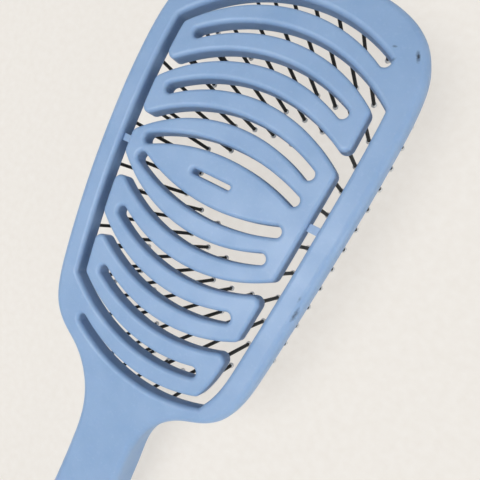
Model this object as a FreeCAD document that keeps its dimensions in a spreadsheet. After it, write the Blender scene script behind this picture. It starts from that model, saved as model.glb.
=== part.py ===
import FreeCAD, Part
import math
import os
from BOPTools import SplitAPI

os.makedirs("parts", exist_ok=True)
doc = FreeCAD.newDocument("detangling_brush")
Vec = FreeCAD.Vector

# Driving dimensions in millimetres. Y runs along the brush with the head's crown at +Y,
# X across it, and Z up from the table to the back. The rocking axis crosses the head at y = 0.
sheet = doc.addObject("Spreadsheet::Sheet", "sizes")
driving = [
    ("head_half_width", "45.3"),
    ("crown_reach", "69.5"),
    ("heel_reach", "91"),
    ("handle_reach", "173.5"),
    ("handle_half_width", "12.6"),
    ("plate_thick", "6"),
    ("handle_thick", "12"),
    ("arch_radius", "455"),
    ("arch_end_reach", "80"),
    ("neck_under_reach", "68"),
    ("grip_under_reach", "102"),
    ("handle_sweep_radius", "400"),
    ("rail_width", "7.6"),
    ("slot_width", "3.4"),
    ("side_gap", "3.4"),
    ("slot_pitch", "9.65"),
    ("slot_radius", "54"),
    ("leaf_slot_radius", "66"),
    ("slot_apex_offset", "2.2"),
    ("leaf_half_height", "7.75"),
    ("turn_wall", "5.4"),
    ("slit_length", "14"),
    ("slit_width", "1.6"),
    ("tab_width", "2.4"),
    ("tab_recess", "2"),
    ("turn_round", "2.4"),
    ("rim_round", "2.4"),
    ("vent_round", "1.3"),
    ("under_round", "0.8"),
    ("pin_diameter", "1.2"),
    ("pin_reach", "20.4"),
    ("pin_root", "3"),
    ("pin_clearance", "0.05"),
    ("ball_diameter", "1.9"),
    ("pin_pitch", "8"),
    ("rail_pin_pitch", "7.7"),
    ("end_pin_margin", "4.5"),
    ("split_pin_margin", "2.2"),
    ("turn_pin_margin", "3"),
    ("rail_pin_top", "52"),
    ("rail_pin_low", "55.5"),
    ("top_row_reach", "63"),
    ("top_row_half", "24"),
    ("bottom_row_reach", "71.5"),
    ("bottom_row_half", "14"),
    ("leaf_row_offset", "4"),
    ("leaf_row_half", "12"),
    ("leaf_end_pin", "18.5"),
    ("hang_hole_diameter", "6"),
    ("hang_hole_inset", "10"),
    ("overrun", "20"),
]
for line, (alias, value) in enumerate(driving, start=1):
    sheet.set("A%d" % line, alias)
    sheet.set("B%d" % line, value)
    sheet.setAlias("B%d" % line, alias)
doc.recompute()


def size(alias):
    return float(sheet.get(alias))


half_width = size("head_half_width")
crown = size("crown_reach")
heel = size("heel_reach")
handle_end = size("handle_reach")
handle_half = size("handle_half_width")
plate = size("plate_thick")
grip = size("handle_thick")
arch = size("arch_radius")
sweep = size("handle_sweep_radius")
rail = size("rail_width")
slot_width = size("slot_width")
gap = size("side_gap")
pitch = size("slot_pitch")
slot_radius = size("slot_radius")
leaf_slot_radius = size("leaf_slot_radius")
apex_x = size("slot_apex_offset")
leaf = size("leaf_half_height")
turn_wall = size("turn_wall")
overrun = size("overrun")
pin_radius = size("pin_diameter") / 2
ball_radius = size("ball_diameter") / 2
pin_reach = size("pin_reach")
pin_root = size("pin_root")

# The arch is level over the middle of the two outermost pin rows, so the brush stands level on them.
# The crown's height puts the lowest ball tips on the table.
top_row = size("top_row_reach")
bottom_row = size("bottom_row_reach")
arch_y = (top_row - bottom_row) / 2
ball_seat = math.sqrt(ball_radius ** 2 - pin_radius ** 2)
ball_centre = arch - plate - pin_reach - ball_seat
row_angle = math.asin((top_row - arch_y) / (arch - plate))
centre_z = ball_radius - ball_centre * math.cos(row_angle)
crown_z = centre_z + arch
axis_z = crown_z - plate / 2

upper_count = 6
lower_count = 7
halves = {1: upper_count, -1: lower_count}


# Plan outline of the moulding, as shares of the half width and of the reaches from the rocking axis
head_top_shares = [(0.265, 0.991), (0.51, 0.962), (0.71, 0.91), (0.865, 0.83), (0.957, 0.725),
                   (0.994, 0.59), (1, 0.43), (0.991, 0.215), (0.972, 0)]
head_low_shares = [(0.948, 0.165), (0.917, 0.33), (0.881, 0.495), (0.843, 0.605), (0.777, 0.682),
                   (0.651, 0.74), (0.508, 0.78), (0.386, 0.835), (0.298, 0.912), (0.256, 1)]
handle_shares = [(0.89, 0.12), (0.92, 0.36), (1, 0.65), (0.985, 0.82), (0.75, 0.945)]

# How many points of the outline one wall face spans
span_count = 3


def right_outline():
    points = [Vec(half_width * x, crown * y, 0) for x, y in head_top_shares]
    points += [Vec(half_width * x, -heel * y, 0) for x, y in head_low_shares]
    points += [Vec(handle_half * x, -heel - (handle_end - heel) * y, 0) for x, y in handle_shares]
    return points


def closed_outline():
    right = right_outline()
    left = [Vec(-point.x, point.y, 0) for point in reversed(right)]
    points = [Vec(0, crown, 0)] + right + [Vec(0, -handle_end, 0)] + left
    curve = Part.BSplineCurve()
    curve.interpolate(Points=points, PeriodicFlag=True)
    breaks = [curve.parameter(point) for point in points[::span_count]] + [curve.LastParameter]
    return Part.Wire([curve.toShape(first, last) for first, last in zip(breaks, breaks[1:])])


# Inner edge of the right rail, from the top corner to the heel corner
rail_first = 3
rail_last = len(head_top_shares) + 4
rail_curve = Part.BSplineCurve()
rail_points = right_outline()[rail_first:rail_last + 1]
rail_curve.interpolate(Points=[point - Vec(rail, 0, 0) for point in rail_points])


def rail_parameter(y):
    low = rail_curve.FirstParameter
    high = rail_curve.LastParameter
    for step in range(60):
        middle = (low + high) / 2
        if rail_curve.value(middle).y > y:
            low = middle
        else:
            high = middle
    return low


def rail_inner(y):
    return rail_curve.value(rail_parameter(y)).x


def panel_half(y):
    return rail_inner(y) - gap


# Vent slots: arcs stepped away from the leaf by one pitch, the two beside the leaf a little flatter
def slot_apex(k):
    return leaf + slot_width / 2 + pitch * k


def bend(k):
    return leaf_slot_radius if k == 0 else slot_radius


def arc_y(half, k, x):
    return half * (slot_apex(k) - bend(k) + math.sqrt(bend(k) ** 2 - (x - apex_x) ** 2))


def end_x(half, k, side, inset):
    x = side * panel_half(0)
    for step in range(40):
        x = side * (panel_half(arc_y(half, k, x)) - inset)
    return x


def is_open(half, k, side):
    if k == 0:
        return False
    return (k % 2 == 1) == (side < 0)


# The slots that turn into the top and the bottom of each side gap: half, slot and side
gap_corners = [(1, upper_count - 1, -1), (-1, lower_count - 2, -1),
               (1, upper_count - 2, 1), (-1, lower_count - 1, 1)]


def slot_end(half, k, side):
    last = k == halves[half] - 1
    if not is_open(half, k, side):
        wall = 0 if last else turn_wall
        return end_x(half, k, side, wall + slot_width / 2)
    return end_x(half, k, side, -gap / 2 if (half, k, side) in gap_corners else -gap / 4)


def strip_face(middle, first, last, width):
    # A strip of one width on an arc about middle, with round ends
    radius = (first - middle).Length
    start = math.atan2(first.y - middle.y, first.x - middle.x)
    stop = math.atan2(last.y - middle.y, last.x - middle.x)

    def at(angle, reach):
        return middle + Vec(math.cos(angle), math.sin(angle), 0) * reach

    def beyond(point, angle, sense):
        return point + Vec(-math.sin(angle), math.cos(angle), 0) * (sense * width / 2)

    outer = radius + width / 2
    inner = radius - width / 2
    mid = (start + stop) / 2
    sense = 1 if stop > start else -1
    edges = [Part.Arc(at(start, outer), at(mid, outer), at(stop, outer)).toShape(),
             Part.Arc(at(stop, outer), beyond(last, stop, sense), at(stop, inner)).toShape(),
             Part.Arc(at(stop, inner), at(mid, inner), at(start, inner)).toShape(),
             Part.Arc(at(start, inner), beyond(first, start, -sense), at(start, outer)).toShape()]
    return Part.Face(Part.Wire(edges))


def slot_face(half, k):
    left = slot_end(half, k, -1)
    right = slot_end(half, k, 1)
    middle = Vec(apex_x, half * (slot_apex(k) - bend(k)), 0)
    first = Vec(left, arc_y(half, k, left), 0)
    last = Vec(right, arc_y(half, k, right), 0)
    return strip_face(middle, first, last, slot_width)


def gap_face(side):
    # The gap between a rail and the ends of the bands, ending in the slots that turn into it
    ends = {}
    for half, k, corner_side in gap_corners:
        if corner_side == side:
            ends[half] = arc_y(half, k, slot_end(half, k, side))
    outer = rail_curve.toShape(rail_parameter(ends[1]), rail_parameter(ends[-1]))
    inner = outer.copy()
    inner.translate(Vec(-gap, 0, 0))
    top = outer.valueAt(outer.FirstParameter)
    low = outer.valueAt(outer.LastParameter)
    top_arc = Part.Arc(top, top + Vec(-gap / 2, gap / 2, 0), top - Vec(gap, 0, 0)).toShape()
    low_arc = Part.Arc(low, low + Vec(-gap / 2, -gap / 2, 0), low - Vec(gap, 0, 0)).toShape()
    face = Part.Face(Part.Wire(Part.__sortEdges__([outer, low_arc, inner, top_arc])))
    return face if side > 0 else face.mirror(Vec(0, 0, 0), Vec(1, 0, 0))


def slit_face():
    reach = size("slit_length") / 2 - size("slit_width") / 2
    half = size("slit_width") / 2
    edges = [Part.makeLine(Vec(-reach, half, 0), Vec(reach, half, 0)),
             Part.Arc(Vec(reach, half, 0), Vec(reach + half, 0, 0), Vec(reach, -half, 0)).toShape(),
             Part.makeLine(Vec(reach, -half, 0), Vec(-reach, -half, 0)),
             Part.Arc(Vec(-reach, -half, 0), Vec(-reach - half, 0, 0), Vec(-reach, half, 0)).toShape()]
    return Part.Face(Part.Wire(edges))


# Side profile: arched head, swept neck and a straight grip
def back_point(y, depth):
    drop = math.sqrt((arch - depth) ** 2 - (y - arch_y) ** 2)
    return Vec(0, y, centre_z + drop)


def profile_wire():
    arch_end = -size("arch_end_reach")
    angle = math.asin((arch_end - arch_y) / arch)
    joint = back_point(arch_end, 0)
    # The neck's reversed arc turns the slope back to a fifth of what it reaches at the head
    level_share = 0.2
    final = angle * level_share
    turn = Vec(0, math.sin(angle), math.cos(angle))
    turn_end = Vec(0, math.sin(final), math.cos(final))
    turn_mid = Vec(0, math.sin((angle + final) / 2), math.cos((angle + final) / 2))
    heart = joint + turn * sweep
    grip_joint = heart - turn_end * sweep
    along = Vec(0, -math.cos(final), math.sin(final))
    end_run = (handle_end + grip_joint.y + overrun) / math.cos(final)
    back_end = grip_joint + along * end_run
    under_end = back_end - turn_end * grip
    under_joint = grip_joint - turn_end * grip
    neck_y = -size("neck_under_reach")
    neck_angle = math.asin((neck_y - arch_y) / (arch - plate))
    neck = back_point(neck_y, plate)
    neck_along = Vec(0, -math.cos(neck_angle), math.sin(neck_angle))
    grip_y = -size("grip_under_reach")
    grip_angle = angle + (final - angle) * (grip_y - joint.y) / (grip_joint.y - joint.y)
    grip_normal = Vec(0, math.sin(grip_angle), math.cos(grip_angle))
    grip_along = Vec(0, -math.cos(grip_angle), math.sin(grip_angle))
    under_start = heart - grip_normal * (sweep + grip)
    under_mid_angle = (grip_angle + final) / 2
    under_mid = heart - Vec(0, math.sin(under_mid_angle), math.cos(under_mid_angle)) * (sweep + grip)
    pull = (neck.y - under_start.y) / 3
    blend = Part.BezierCurve()
    blend.setPoles([neck, neck + neck_along * pull, under_start - grip_along * pull, under_start])
    front_y = crown + overrun
    mid_y = (front_y + arch_end) / 2
    under_mid_y = (front_y + neck_y) / 2
    edges = [
        Part.Arc(back_point(front_y, 0), back_point(mid_y, 0), joint).toShape(),
        Part.Arc(joint, heart - turn_mid * sweep, grip_joint).toShape(),
        Part.makeLine(grip_joint, back_end),
        Part.makeLine(back_end, under_end),
        Part.makeLine(under_end, under_joint),
        Part.Arc(under_joint, under_mid, under_start).toShape(),
        blend.toShape(),
        Part.Arc(neck, back_point(under_mid_y, plate), back_point(front_y, plate)).toShape(),
        Part.makeLine(back_point(front_y, plate), back_point(front_y, 0)),
    ]
    return Part.Wire(Part.__sortEdges__(edges))


def feature(name, shape):
    item = doc.addObject("Part::Feature", name)
    item.Shape = shape
    return item


def extrusion(name, base, direction, expression):
    item = doc.addObject("Part::Extrusion", name)
    item.Base = base
    item.DirMode = "Custom"
    item.Dir = direction
    item.Symmetric = True
    item.Solid = True
    item.setExpression("LengthFwd", expression)
    return item


def boolean(kind, name, base, tool):
    item = doc.addObject(kind, name)
    item.Base = base
    item.Tool = tool
    return item


plan = feature("plan_outline", closed_outline())
upright = "sizes.overrun * 4"
plan_prism = extrusion("plan_prism", plan, Vec(0, 0, 1), upright)
side = feature("side_profile", profile_wire())
side_prism = extrusion("side_prism", side, Vec(1, 0, 0), "sizes.head_half_width * 2 + sizes.overrun * 2")
blank = boolean("Part::Common", "moulding_blank", plan_prism, side_prism)

vent_faces = [slot_face(half, k) for half, count in halves.items() for k in range(count)]
vent_faces += [gap_face(1), gap_face(-1), slit_face()]
vent_prisms = []
for number, face in enumerate(vent_faces):
    outline = feature("vent_outline_%d" % number, face)
    vent_prisms.append(extrusion("vent_prism_%d" % number, outline, Vec(0, 0, 1), upright))
vent_prism = doc.addObject("Part::MultiFuse", "vent_prism")
vent_prism.Shapes = vent_prisms
vent_prism.Refine = True
doc.recompute()


def corner_edges(shape):
    # Upright edges where a slot's wall meets a side gap at an angle
    found = []
    for edge in shape.Edges:
        ends = [vertex.Point for vertex in edge.Vertexes]
        if len(ends) != 2 or (ends[0] - ends[1]).cross(Vec(0, 0, 1)).Length > plate / 1000:
            continue
        faces = shape.ancestorsOfType(edge, Part.Face)
        if len(faces) != 2:
            continue
        normals = []
        for face in faces:
            u, v = face.Surface.parameter(edge.valueAt(edge.FirstParameter))
            normals.append(face.normalAt(u, v))
        if abs(normals[0].dot(normals[1])) < 0.97:
            found.append(edge)
    return found


corners = corner_edges(vent_prism.Shape)
vent_tool = feature("vent_cut", vent_prism.Shape.makeFillet(size("turn_round"), corners))

# The two tabs bridge the side gaps on the rocking axis
tab_x = rail_inner(0) - gap / 2
for name, x in (("right_tab_space", tab_x), ("left_tab_space", -tab_x)):
    box = doc.addObject("Part::Box", name)
    box.setExpression("Length", "sizes.side_gap * 2")
    box.setExpression("Width", "sizes.tab_width")
    box.setExpression("Height", "sizes.plate_thick - sizes.tab_recess * 2")
    box.Placement.Base = Vec(x - gap, -size("tab_width") / 2, axis_z - plate / 2 + size("tab_recess"))
tabs = doc.addObject("Part::MultiFuse", "tab_spaces")
tabs.Shapes = [doc.right_tab_space, doc.left_tab_space]
vent_with_tabs = boolean("Part::Cut", "vent_cut_with_tabs", vent_tool, tabs)
hang_hole = doc.addObject("Part::Cylinder", "hang_hole_tool")
hang_hole.setExpression("Radius", "sizes.hang_hole_diameter / 2")
hang_hole.setExpression("Height", upright)
hang_hole.Placement.Base = Vec(0, -handle_end + size("hang_hole_inset"), -overrun * 2)
cutters = doc.addObject("Part::MultiFuse", "moulding_cutters")
cutters.Shapes = [vent_with_tabs, hang_hole]
moulding = boolean("Part::Cut", "vented_moulding", blank, cutters)
doc.recompute()


# Rounded edges: the outer edge of the moulding, then the edges of the vents
def rim_edges(shape, outer, upward):
    found = []
    for edge in shape.Edges:
        faces = shape.ancestorsOfType(edge, Part.Face)
        if len(faces) != 2:
            continue
        middle = edge.valueAt((edge.FirstParameter + edge.LastParameter) / 2)
        tilts = []
        for face in faces:
            u, v = face.Surface.parameter(middle)
            tilts.append(face.normalAt(u, v).z)
        skin = max(tilts, key=abs)
        wall = min(tilts, key=abs)
        if abs(skin) < 0.9 or abs(wall) > 0.3 or (skin > 0) != upward:
            continue
        on_plan = Part.Vertex(middle.x, middle.y, 0).distToShape(plan.Shape)[0] < plate / 100
        level = abs(middle.z - axis_z) < plate / 2 - size("tab_recess") / 2
        near_tab = level and abs(middle.y) < size("tab_width")
        if on_plan == outer and not near_tab:
            found.append(edge)
    return found


rounded = moulding.Shape
for outer, upward, radius in ((True, True, "rim_round"), (True, False, "under_round"),
                              (False, True, "vent_round"), (False, False, "under_round")):
    edges = rim_edges(rounded, outer, upward)
    rounded = rounded.makeFillet(size(radius), edges)
body = feature("rounded_moulding", rounded)


# The one-piece moulding bends in its bands. It is parted across the bands at its turns, on planes
# square to the rocking axis, so each limb can turn against the next one without a gap.
def split_x(half, k, side):
    return slot_end(half, k, side) - side * slot_width / 2


def split_plane(x, first_y, last_y):
    low = Vec(x, min(first_y, last_y), crown_z - arch / 4)
    across = Vec(0, abs(last_y - first_y), 0)
    rise = Vec(0, 0, arch / 2)
    return Part.Face(Part.makePolygon([low, low + across, low + across + rise, low + rise, low]))


def band_split(half, k, side, inner, outer):
    x = split_x(half, k, side)
    return split_plane(x, arc_y(half, inner, x), arc_y(half, outer, x))


splits = [band_split(1, 1, 1, 1, 2), band_split(1, 3, 1, 3, 4), band_split(1, 5, 1, 4, 5),
          band_split(-1, 1, 1, 1, 2), band_split(-1, 3, 1, 3, 4), band_split(-1, 5, 1, 5, 6),
          band_split(-1, 6, -1, 5, 6)]
splits += [split_plane(x, -size("tab_width"), size("tab_width")) for x in (tab_x, -tab_x)]
pieces = SplitAPI.slice(body.Shape, splits, "Split", 0).Solids


def mid_plate(x, y):
    return back_point(y, plate / 2) + Vec(x, 0, 0)


def piece_at(x, y):
    point = mid_plate(x, y)
    for piece in pieces:
        if piece.isInside(point, plate / 1000, False):
            return piece
    raise RuntimeError("no piece of the moulding at %.1f, %.1f" % (x, y))


# Bands lie between slot j and slot j + 1, counted from the leaf on each half
def band_y(half, j, x):
    apex = slot_apex(j) + pitch / 2
    return half * (apex - slot_radius + math.sqrt(slot_radius ** 2 - (x - apex_x) ** 2))


limb_bands = {
    "rocking_island": [(1, 0), (-1, 0)],
    "upper_inner_limb": [(1, 1), (1, 2)],
    "upper_outer_limb": [(1, 3), (1, 4)],
    "lower_inner_limb": [(-1, 1), (-1, 2)],
    "lower_middle_limb": [(-1, 3), (-1, 4)],
    "lower_outer_limb": [(-1, 5)],
}
limb_turns = {
    "rocking_island": [(1, 1), (1, 0), (-1, 0), (-1, 1)],
    "upper_inner_limb": [(1, 3), (1, 2)],
    "lower_inner_limb": [(-1, 2), (-1, 3)],
    "lower_middle_limb": [(-1, 4), (-1, 5)],
}
solids = {name: piece_at(apex_x, band_y(*bands[0], apex_x)) for name, bands in limb_bands.items()}
solids["rim_and_handle"] = piece_at(0, -heel + pitch)


# Pin rows: each pin stands square to the arch, at a place on the moulding's underside
def spread(first, last, step):
    count = max(2, round(abs(last - first) / step) + 1)
    return [first + (last - first) * i / (count - 1) for i in range(count)]


def band_row(half, j):
    inner_slot = j if j % 2 == 1 else j + 1
    right = split_x(half, inner_slot, 1) - size("split_pin_margin")
    left = -panel_half(band_y(half, j, -panel_half(0))) + size("end_pin_margin")
    if (half, j) == (-1, lower_count - 2):
        left = split_x(half, lower_count - 1, -1) + size("split_pin_margin")
    return [(x, band_y(half, j, x)) for x in spread(left, right, size("pin_pitch"))]


def turn_pin(half, j):
    x = panel_half(0)
    for step in range(40):
        x = panel_half(band_y(half, j, x)) - size("turn_pin_margin")
    return x, band_y(half, j, x)


def leaf_row():
    offset = size("leaf_row_offset")
    reach = size("leaf_row_half")
    row = [(x, side * offset) for side in (1, -1) for x in spread(-reach, reach, size("pin_pitch"))]
    return row + [(side * size("leaf_end_pin"), 0) for side in (1, -1)]


rail_ys = spread(size("rail_pin_top"), -size("rail_pin_low"), size("rail_pin_pitch"))
rows = {}
for limb, bands in limb_bands.items():
    for half, j in bands:
        number = upper_count - 1 - j if half > 0 else upper_count + j
        rows["band_%d" % number] = (limb, band_row(half, j))
for limb, turns in limb_turns.items():
    rows[limb + "_turn"] = (limb, [turn_pin(half, j) for half, j in turns])
rows["leaf"] = ("rocking_island", leaf_row())
for name, side in (("right_rail", 1), ("left_rail", -1)):
    rows[name] = ("rim_and_handle", [(side * (rail_inner(y) + rail / 2), y) for y in rail_ys])
for name, y, reach in (("top_bar", top_row, "top_row_half"), ("heel_bar", -bottom_row, "bottom_row_half")):
    rows[name] = ("rim_and_handle", [(x, y) for x in spread(-size(reach), size(reach), size("pin_pitch"))])

pin = doc.addObject("Part::Cylinder", "one_pin")
pin.setExpression("Radius", "sizes.pin_diameter / 2")
pin.setExpression("Height", "sizes.pin_root + sizes.pin_reach")
ball = doc.addObject("Part::Sphere", "one_ball_tip")
ball.setExpression("Radius", "sizes.ball_diameter / 2")
ball.setExpression("Angle2", "acos(sizes.pin_diameter / sizes.ball_diameter)")
hole = doc.addObject("Part::Cylinder", "one_pin_hole")
hole.setExpression("Radius", "sizes.pin_diameter / 2 + sizes.pin_clearance")
hole.setExpression("Height", "sizes.pin_root + sizes.plate_thick")
doc.recompute()


def stand(shape, x, y, depth):
    # A copy of shape on the pin axis at x, y, its foot depth below the moulding's underside
    angle = math.asin((y - arch_y) / (arch - plate))
    up = Vec(0, math.sin(angle), math.cos(angle))
    foot = Vec(x, arch_y, centre_z) + up * (arch - plate - depth)
    copy = shape.copy()
    copy.Placement = FreeCAD.Placement(foot, FreeCAD.Rotation(Vec(0, 0, 1), up))
    return copy


# The corners of the rounded edges are drawn tight before the pin holes are cut
fine = pin_radius / 5000
nodes = []
for name, solid in solids.items():
    solid.fix(fine, fine, fine * 10)
    places = [place for limb, row in rows.values() if limb == name for place in row]
    holes = Part.makeCompound([stand(hole.Shape, x, y, plate) for x, y in places])
    blank_solid = feature(name + "_blank", solid)
    nodes.append(boolean("Part::Cut", name, blank_solid, feature(name + "_pin_holes", holes)))
for name, (limb, row) in rows.items():
    shafts = [stand(pin.Shape, x, y, pin_reach) for x, y in row]
    balls = [stand(ball.Shape, x, y, pin_reach + ball_seat) for x, y in row]
    nodes.append(feature(name + "_pins", Part.makeCompound(shafts)))
    nodes.append(feature(name + "_ball_tips", Part.makeCompound(balls)))
doc.recompute()

# The origin lies under the middle of the brush's length
origin_shift = FreeCAD.Placement(Vec(0, (handle_end - crown) / 2, 0), FreeCAD.Rotation())
for node in nodes:
    node.Label = node.Name
    node.Placement = origin_shift
    if "Invalid" in node.State or "Error" in node.State:
        raise RuntimeError(node.Label + " did not compute")
    if node.Shape.isNull() or not node.Shape.isValid():
        raise RuntimeError(node.Label + " has no valid shape")
    node.Shape.exportStep("parts/%s.step" % node.Label)
print("pins", sum(len(row) for limb, row in rows.values()), "nodes", len(nodes))
print("pieces", len(pieces), {name: round(solid.Volume) for name, solid in solids.items()})
print("back height", round(crown_z, 3), "axis height", round(axis_z, 3), "arch middle", round(arch_y, 3))
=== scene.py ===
import math

import bpy
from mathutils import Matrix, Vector

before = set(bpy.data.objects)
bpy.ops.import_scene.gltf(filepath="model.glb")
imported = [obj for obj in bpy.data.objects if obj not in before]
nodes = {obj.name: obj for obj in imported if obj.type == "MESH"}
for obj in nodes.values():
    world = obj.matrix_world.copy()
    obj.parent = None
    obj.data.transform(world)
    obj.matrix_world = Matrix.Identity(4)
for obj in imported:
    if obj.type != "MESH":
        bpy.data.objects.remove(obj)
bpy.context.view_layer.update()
bpy.ops.object.select_all(action="DESELECT")
print("frame loaded:", len(nodes), "nodes")

mm = 0.001


def toLinear(hexColour):
    # sRGB hex to the linear colour that the shaders take
    parts = [int(hexColour[i:i + 2], 16) / 255 for i in (1, 3, 5)]
    return tuple(p / 12.92 if p <= 0.04045 else ((p + 0.055) / 1.055) ** 2.4 for p in parts) + (1.0,)


def addNode(tree, kind, sockets, **settings):
    # a socket goes by its name or number and gets a value or the output that feeds it
    node = tree.nodes.new(kind)
    for name, value in settings.items():
        setattr(node, name, value)
    for socket, value in sockets.items():
        if isinstance(value, bpy.types.NodeSocket):
            tree.links.new(value, node.inputs[socket])
        else:
            node.inputs[socket].default_value = value
    return node


def newMaterial(name):
    material = bpy.data.materials.new(name)
    material.use_nodes = True
    material.node_tree.nodes.clear()
    return material, material.node_tree


def dress(names, material):
    for name in names:
        mesh = nodes[name].data
        mesh.materials.clear()
        mesh.materials.append(material)


# Marks rubbed into the moulding: dark, soft spots with an edge broken up by grit
markLook = {
    "colour": "#2E3848",
    "gritMm": 0.7,
    "gritDetail": 2.0,
    "edge": (0.6, 1.5),  # a mark fades between these: reach from its middle, 1 at its rim, plus the grit
    # place x, y in mm, length and width in mm, turn in degrees, strength
    "spots": [
        (-35.5, 95.0, 1.8, 1.0, 60, 1.0),
        (38.6, 105.2, 4.2, 1.5, 118, 1.0),
        (32.8, 102.4, 2.2, 1.2, 30, 0.55),
        (31.6, 105.9, 1.6, 0.8, 10, 0.7),
        (41.1, 29.0, 6.0, 1.3, 84, 0.75),
        (40.4, 33.5, 2.6, 1.0, 80, 0.4),
    ],
}


def addMarks(tree, place, colour):
    look = markLook
    full, none = look["edge"]
    grit = addNode(tree, "ShaderNodeTexNoise", {
        "Vector": place, "Scale": 1 / (look["gritMm"] * mm), "Detail": look["gritDetail"]})
    for x, y, length, width, turn, strength in look["spots"]:
        spot = addNode(tree, "ShaderNodeMapping", {
            "Vector": place,
            "Location": (x * mm, y * mm, 0),
            "Rotation": (0, 0, math.radians(turn)),
            "Scale": (length * mm / 2, width * mm / 2, 1.0),
        }, vector_type="TEXTURE")
        reach = addNode(tree, "ShaderNodeVectorMath", {0: spot.outputs[0]}, operation="LENGTH")
        ragged = addNode(tree, "ShaderNodeMath", {
            0: reach.outputs["Value"], 1: grit.outputs["Fac"]}, operation="ADD")
        share = addNode(tree, "ShaderNodeMapRange", {
            "Value": ragged.outputs[0], "From Min": full, "From Max": none,
            "To Min": strength, "To Max": 0.0})
        marked = addNode(tree, "ShaderNodeMix", {
            0: share.outputs[0], 6: colour, 7: toLinear(look["colour"])}, data_type="RGBA")
        colour = marked.outputs[2]
    return colour


# Light blue polypropylene, injection moulded in a finely etched tool:
# matt, with slow clouds of flow in the colour, a fine tooth and a few rubbed marks
mouldingLook = {
    "blue": "#95B1D3",
    "cloudBlue": "#8BA9CD",
    "paleBlue": "#A4BDDC",
    "cloudMm": 14,
    "cloudDetail": 3.0,
    "cloudRoughness": 0.55,
    "cloudRange": (0.35, 0.68),  # noise levels where a cloud begins and is full
    "speckMm": 1.1,
    "speckDetail": 2.0,
    "speckRange": (0.56, 0.8),
    "speckShare": 0.35,
    "toothMm": 0.5,  # the real tooth is about 0.1 mm, drawn coarser so that it shows
    "toothDetail": 2.0,
    "toothRoughness": 0.6,
    "toothStrength": 0.6,
    "toothDepthMm": 0.012,
    "sheenRange": (0.3, 0.7),
    "roughness": (0.40, 0.54),
    "ior": 1.49,
    "strayShare": 0.25,  # light that strays inside the plastic
    "strayMm": 1.2,
    "strayByColour": (0.4, 0.7, 1.0),  # red, green, blue: blue strays furthest
}


def makeMoulding():
    look = mouldingLook
    material, tree = newMaterial("moulded_light_blue_polypropylene")
    place = addNode(tree, "ShaderNodeTexCoord", {}).outputs["Object"]
    cloud = addNode(tree, "ShaderNodeTexNoise", {
        "Vector": place, "Scale": 1 / (look["cloudMm"] * mm),
        "Detail": look["cloudDetail"], "Roughness": look["cloudRoughness"]})
    cloudShare = addNode(tree, "ShaderNodeMapRange", {
        "Value": cloud.outputs["Fac"], "From Min": look["cloudRange"][0], "From Max": look["cloudRange"][1]})
    clouded = addNode(tree, "ShaderNodeMix", {
        0: cloudShare.outputs[0], 6: toLinear(look["blue"]), 7: toLinear(look["cloudBlue"])
    }, data_type="RGBA")
    speck = addNode(tree, "ShaderNodeTexNoise", {
        "Vector": place, "Scale": 1 / (look["speckMm"] * mm), "Detail": look["speckDetail"]})
    speckShare = addNode(tree, "ShaderNodeMapRange", {
        "Value": speck.outputs["Fac"], "From Min": look["speckRange"][0], "From Max": look["speckRange"][1],
        "To Max": look["speckShare"]})
    specked = addNode(tree, "ShaderNodeMix", {
        0: speckShare.outputs[0], 6: clouded.outputs[2], 7: toLinear(look["paleBlue"])}, data_type="RGBA")
    tooth = addNode(tree, "ShaderNodeTexNoise", {
        "Vector": place, "Scale": 1 / (look["toothMm"] * mm),
        "Detail": look["toothDetail"], "Roughness": look["toothRoughness"]})
    bump = addNode(tree, "ShaderNodeBump", {
        "Height": tooth.outputs["Fac"], "Strength": look["toothStrength"],
        "Distance": look["toothDepthMm"] * mm})
    sheen = addNode(tree, "ShaderNodeMapRange", {
        "Value": cloud.outputs["Fac"], "From Min": look["sheenRange"][0], "From Max": look["sheenRange"][1],
        "To Min": look["roughness"][0], "To Max": look["roughness"][1]})
    shader = addNode(tree, "ShaderNodeBsdfPrincipled", {
        "Base Color": addMarks(tree, place, specked.outputs[2]),
        "Roughness": sheen.outputs[0],
        "IOR": look["ior"],
        "Normal": bump.outputs[0],
        "Subsurface Weight": look["strayShare"],
        "Subsurface Radius": look["strayByColour"],
        "Subsurface Scale": look["strayMm"] * mm})
    addNode(tree, "ShaderNodeOutputMaterial", {"Surface": shader.outputs[0]})
    return material


# Black nylon wire, drawn and cut: dark, half gloss, faint streaks along its length
pinLook = {
    "black": "#090A0B",
    "streakBlack": "#141618",
    "streakMm": 0.35,
    "streakStretch": (1.0, 1.0, 0.06),  # upright, the noise is drawn out into streaks
    "streakDetail": 3.0,
    "streakRange": (0.45, 0.75),
    "streakStrength": 0.3,
    "streakDepthMm": 0.02,
    "glossRange": (0.3, 0.7),
    "roughness": (0.5, 0.66),
    "ior": 1.53,
}


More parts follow.
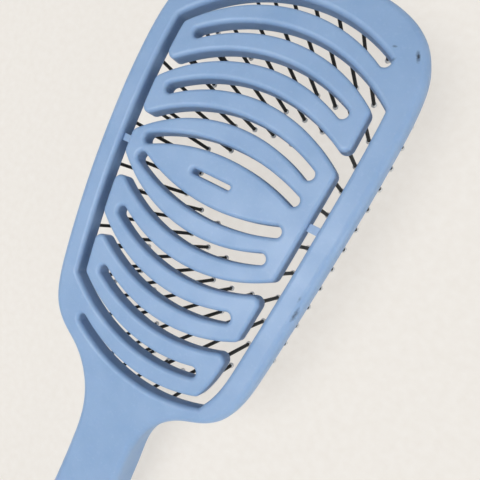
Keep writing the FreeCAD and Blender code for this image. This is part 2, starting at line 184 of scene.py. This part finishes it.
def makePins():
    look = pinLook
    material, tree = newMaterial("drawn_black_nylon")
    place = addNode(tree, "ShaderNodeTexCoord", {}).outputs["Object"]
    along = addNode(tree, "ShaderNodeMapping", {"Vector": place, "Scale": look["streakStretch"]})
    streak = addNode(tree, "ShaderNodeTexNoise", {
        "Vector": along.outputs[0], "Scale": 1 / (look["streakMm"] * mm), "Detail": look["streakDetail"]})
    share = addNode(tree, "ShaderNodeMapRange", {
        "Value": streak.outputs["Fac"],
        "From Min": look["streakRange"][0], "From Max": look["streakRange"][1]})
    colour = addNode(tree, "ShaderNodeMix", {
        0: share.outputs[0], 6: toLinear(look["black"]), 7: toLinear(look["streakBlack"])}, data_type="RGBA")
    gloss = addNode(tree, "ShaderNodeMapRange", {
        "Value": streak.outputs["Fac"], "From Min": look["glossRange"][0], "From Max": look["glossRange"][1],
        "To Min": look["roughness"][0], "To Max": look["roughness"][1]})
    bump = addNode(tree, "ShaderNodeBump", {
        "Height": streak.outputs["Fac"], "Strength": look["streakStrength"],
        "Distance": look["streakDepthMm"] * mm})
    shader = addNode(tree, "ShaderNodeBsdfPrincipled", {
        "Base Color": colour.outputs[2],
        "Roughness": gloss.outputs[0],
        "IOR": look["ior"],
        "Normal": bump.outputs[0]})
    addNode(tree, "ShaderNodeOutputMaterial", {"Surface": shader.outputs[0]})
    return material


# Dipped epoxy bead on each pin: pale grey-white and glossy, with faint greyer patches
tipLook = {
    "pale": "#F3F2EF",
    "grey": "#C3C5C8",
    "patchMm": 0.8,
    "patchDetail": 2.0,
    "patchRange": (0.45, 0.8),
    "patchShare": 0.5,
    "patchStrength": 0.2,
    "patchDepthMm": 0.03,
    "roughness": 0.24,
    "ior": 1.55,
}


def makeTips():
    look = tipLook
    material, tree = newMaterial("dipped_pale_epoxy_bead")
    place = addNode(tree, "ShaderNodeTexCoord", {}).outputs["Object"]
    patch = addNode(tree, "ShaderNodeTexNoise", {
        "Vector": place, "Scale": 1 / (look["patchMm"] * mm), "Detail": look["patchDetail"]})
    share = addNode(tree, "ShaderNodeMapRange", {
        "Value": patch.outputs["Fac"], "From Min": look["patchRange"][0], "From Max": look["patchRange"][1],
        "To Max": look["patchShare"]})
    colour = addNode(tree, "ShaderNodeMix", {
        0: share.outputs[0], 6: toLinear(look["pale"]), 7: toLinear(look["grey"])}, data_type="RGBA")
    bump = addNode(tree, "ShaderNodeBump", {
        "Height": patch.outputs["Fac"], "Strength": look["patchStrength"],
        "Distance": look["patchDepthMm"] * mm})
    shader = addNode(tree, "ShaderNodeBsdfPrincipled", {
        "Base Color": colour.outputs[2],
        "Roughness": look["roughness"],
        "IOR": look["ior"],
        "Normal": bump.outputs[0]})
    addNode(tree, "ShaderNodeOutputMaterial", {"Surface": shader.outputs[0]})
    return material


pinNodes = [n for n in nodes if n.endswith("_pins")]
tipNodes = [n for n in nodes if n.endswith("_ball_tips")]
mouldingNodes = [n for n in nodes if n not in pinNodes and n not in tipNodes]
dress(mouldingNodes, makeMoulding())
dress(pinNodes, makePins())
dress(tipNodes, makeTips())
print("dressed:", len(mouldingNodes), "moulding pieces,",
      len(pinNodes), "pin groups,", len(tipNodes), "tip groups")

# Pale card floor, just under the ball tips
floorLook = {
    "colour": "#F4F0EA",
    "shade": "#ECE6DE",
    "sizeM": 6.0,
    "gapMm": 0.05,
    "grainMm": 3.0,
    "grainDetail": 4.0,
    "ownLight": 0.76,  # share of its colour that only the camera sees, lit evenly: the rest takes the shadow
}


def makeCard():
    look = floorLook
    material, tree = newMaterial("pale_card")
    place = addNode(tree, "ShaderNodeTexCoord", {}).outputs["Object"]
    grain = addNode(tree, "ShaderNodeTexNoise", {
        "Vector": place, "Scale": 1 / (look["grainMm"] * mm), "Detail": look["grainDetail"]})
    colour = addNode(tree, "ShaderNodeMix", {
        0: grain.outputs["Fac"], 6: toLinear(look["colour"]), 7: toLinear(look["shade"])}, data_type="RGBA")
    card = addNode(tree, "ShaderNodeBsdfDiffuse", {"Color": colour.outputs[2]})
    glow = addNode(tree, "ShaderNodeEmission", {"Color": colour.outputs[2], "Strength": 1.0})
    ray = addNode(tree, "ShaderNodeLightPath", {})
    share = addNode(tree, "ShaderNodeMath", {
        0: ray.outputs["Is Camera Ray"], 1: look["ownLight"]}, operation="MULTIPLY")
    both = addNode(tree, "ShaderNodeMixShader", {
        0: share.outputs[0], 1: card.outputs[0], 2: glow.outputs[0]})
    addNode(tree, "ShaderNodeOutputMaterial", {"Surface": both.outputs[0]})
    return material


def makeFloor():
    bpy.ops.mesh.primitive_plane_add(size=floorLook["sizeM"], location=(0, 0, -floorLook["gapMm"] * mm))
    floor = bpy.context.object
    floor.name = "card_floor"
    bpy.ops.object.transform_apply(location=True)
    floor.data.materials.append(makeCard())


makeFloor()
print("floor laid")

# One broad soft lamp overhead, a weaker one low on the right, narrowed to spare the floor at its foot
lampSet = {
    "key": {"placeM": (-0.12, -0.12, 0.95), "sizeM": 0.6, "watts": 7.3, "spreadDegrees": 180},
    "fill": {"placeM": (0.9, 0.0, 0.28), "sizeM": 0.6, "watts": 1.22, "spreadDegrees": 110},
}
lampAimM = (0, 0.03, 0.03)


def makeLamps():
    for name, lamp in lampSet.items():
        bpy.ops.object.light_add(type="AREA", location=lamp["placeM"])
        light = bpy.context.object
        light.name = "soft_" + name
        light.data.size = lamp["sizeM"]
        light.data.energy = lamp["watts"]
        light.data.spread = math.radians(lamp["spreadDegrees"])
        toBrush = Vector(lampAimM) - Vector(lamp["placeM"])
        light.rotation_euler = toBrush.to_track_quat("-Z", "Y").to_euler()


makeLamps()
print("lamps set:", len(lampSet))

# A dim, cool room lights the brush, and only the camera sees the pale backdrop
roomLook = {
    "colour": "#DDE6F1",
    "strength": 0.27,
    "backdrop": "#DBD7D1",  # as the far end of the floor looks, so that no edge shows
}


def makeRoom():
    look = roomLook
    world = bpy.data.worlds.new("soft_room")
    bpy.context.scene.world = world
    world.use_nodes = True
    tree = world.node_tree
    tree.nodes.clear()
    room = addNode(tree, "ShaderNodeBackground", {
        "Color": toLinear(look["colour"]), "Strength": look["strength"]})
    backdrop = addNode(tree, "ShaderNodeBackground", {"Color": toLinear(look["backdrop"]), "Strength": 1.0})
    ray = addNode(tree, "ShaderNodeLightPath", {})
    both = addNode(tree, "ShaderNodeMixShader", {
        0: ray.outputs["Is Camera Ray"], 1: room.outputs[0], 2: backdrop.outputs[0]})
    addNode(tree, "ShaderNodeOutputWorld", {"Surface": both.outputs[0]})


makeRoom()
print("room set")

# The photograph's view: from the right of the brush, looking down on its back
viewSet = {
    "placeMm": (67.54, 54.79, 161.3),
    "turnDegrees": (4.377, 21.779, 27.914),
    "lensMm": 36.16,
    "sensorMm": 36,
    "nearMm": 10,
}


def makeCamera():
    bpy.ops.object.camera_add(location=[v * mm for v in viewSet["placeMm"]],
                              rotation=[math.radians(a) for a in viewSet["turnDegrees"]])
    camera = bpy.context.object
    camera.name = "photo_view"
    camera.data.lens = viewSet["lensMm"]
    camera.data.sensor_width = viewSet["sensorMm"]
    camera.data.clip_start = viewSet["nearMm"] * mm
    bpy.context.scene.camera = camera


makeCamera()
bpy.context.scene.view_settings.view_transform = "Standard"
print("camera set")
